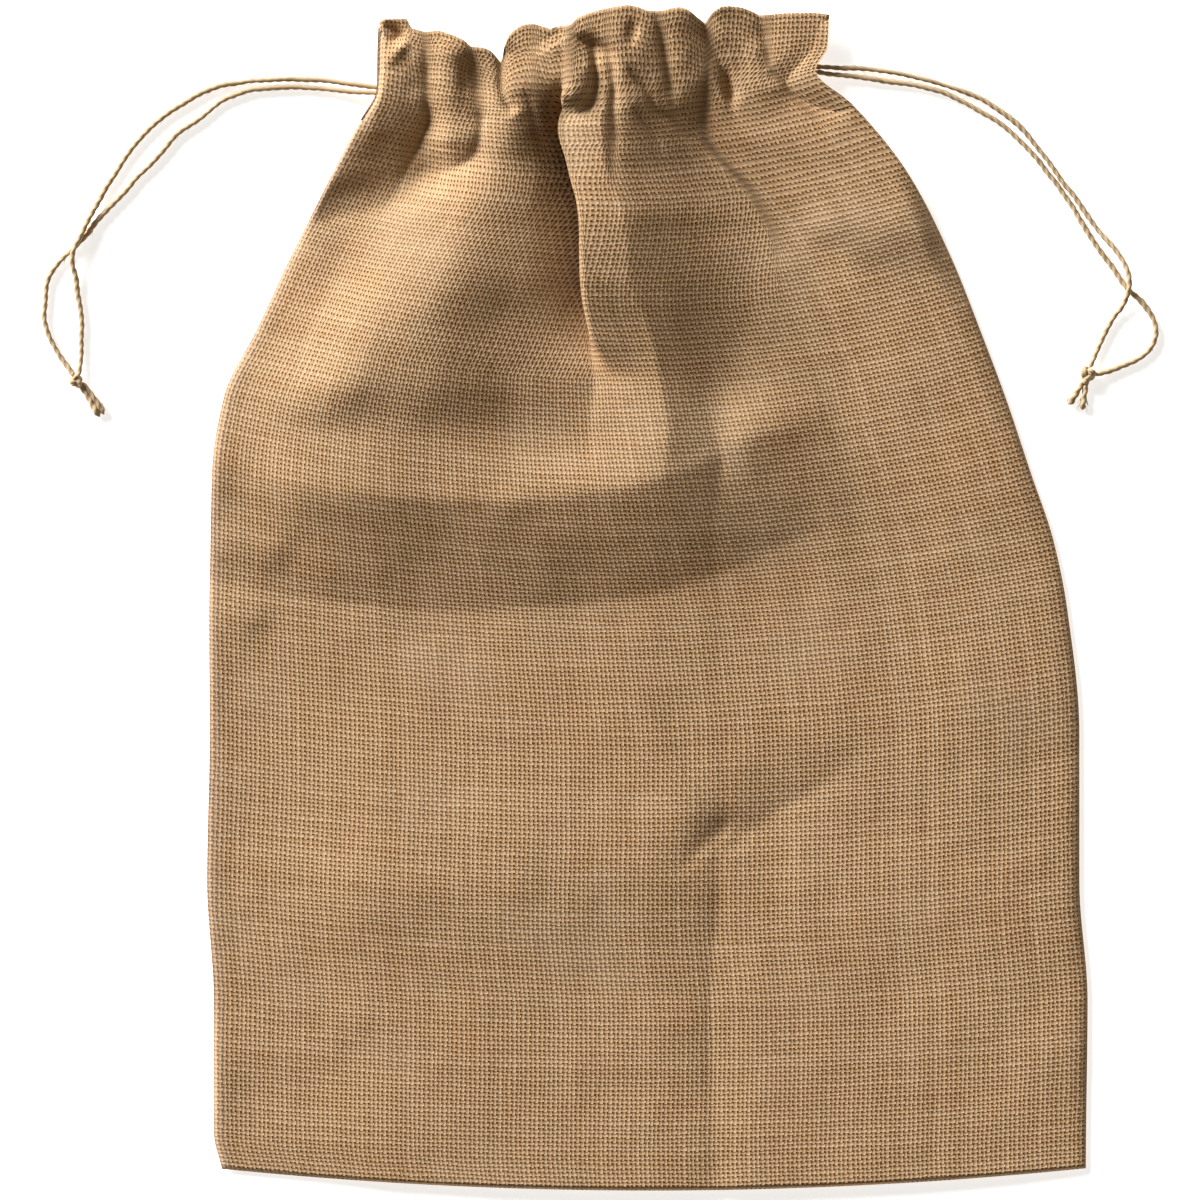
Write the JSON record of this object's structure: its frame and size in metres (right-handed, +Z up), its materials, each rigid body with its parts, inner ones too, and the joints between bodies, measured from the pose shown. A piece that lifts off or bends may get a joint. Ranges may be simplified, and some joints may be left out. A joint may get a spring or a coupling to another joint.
{
  "type": "drawstring burlap sack",
  "caption": "Jute hessian drawstring sack lying flat, with its mouth drawn in and a knotted twine loop at each side.",
  "frame": {"origin": "on the floor, under the middle of the sack, which lies flat on its back", "axes": "+Y from the bottom fold to the mouth, +X to the right of the sack as seen from above, +Z up off the floor"},
  "size_m": [0.3798, 0.4035, 0.0251],
  "materials": {
    "hessian": "coarse plain weave of natural jute yarn",
    "twine": "hairy two-ply jute twine"
  },
  "bodies": {
    "root": {"sack": "hessian", "left_outer_strand": "twine", "left_inner_strand": "twine", "right_outer_strand": "twine", "right_inner_strand": "twine", "left_knot": "twine", "right_knot": "twine"}
  },
  "joints": []
}
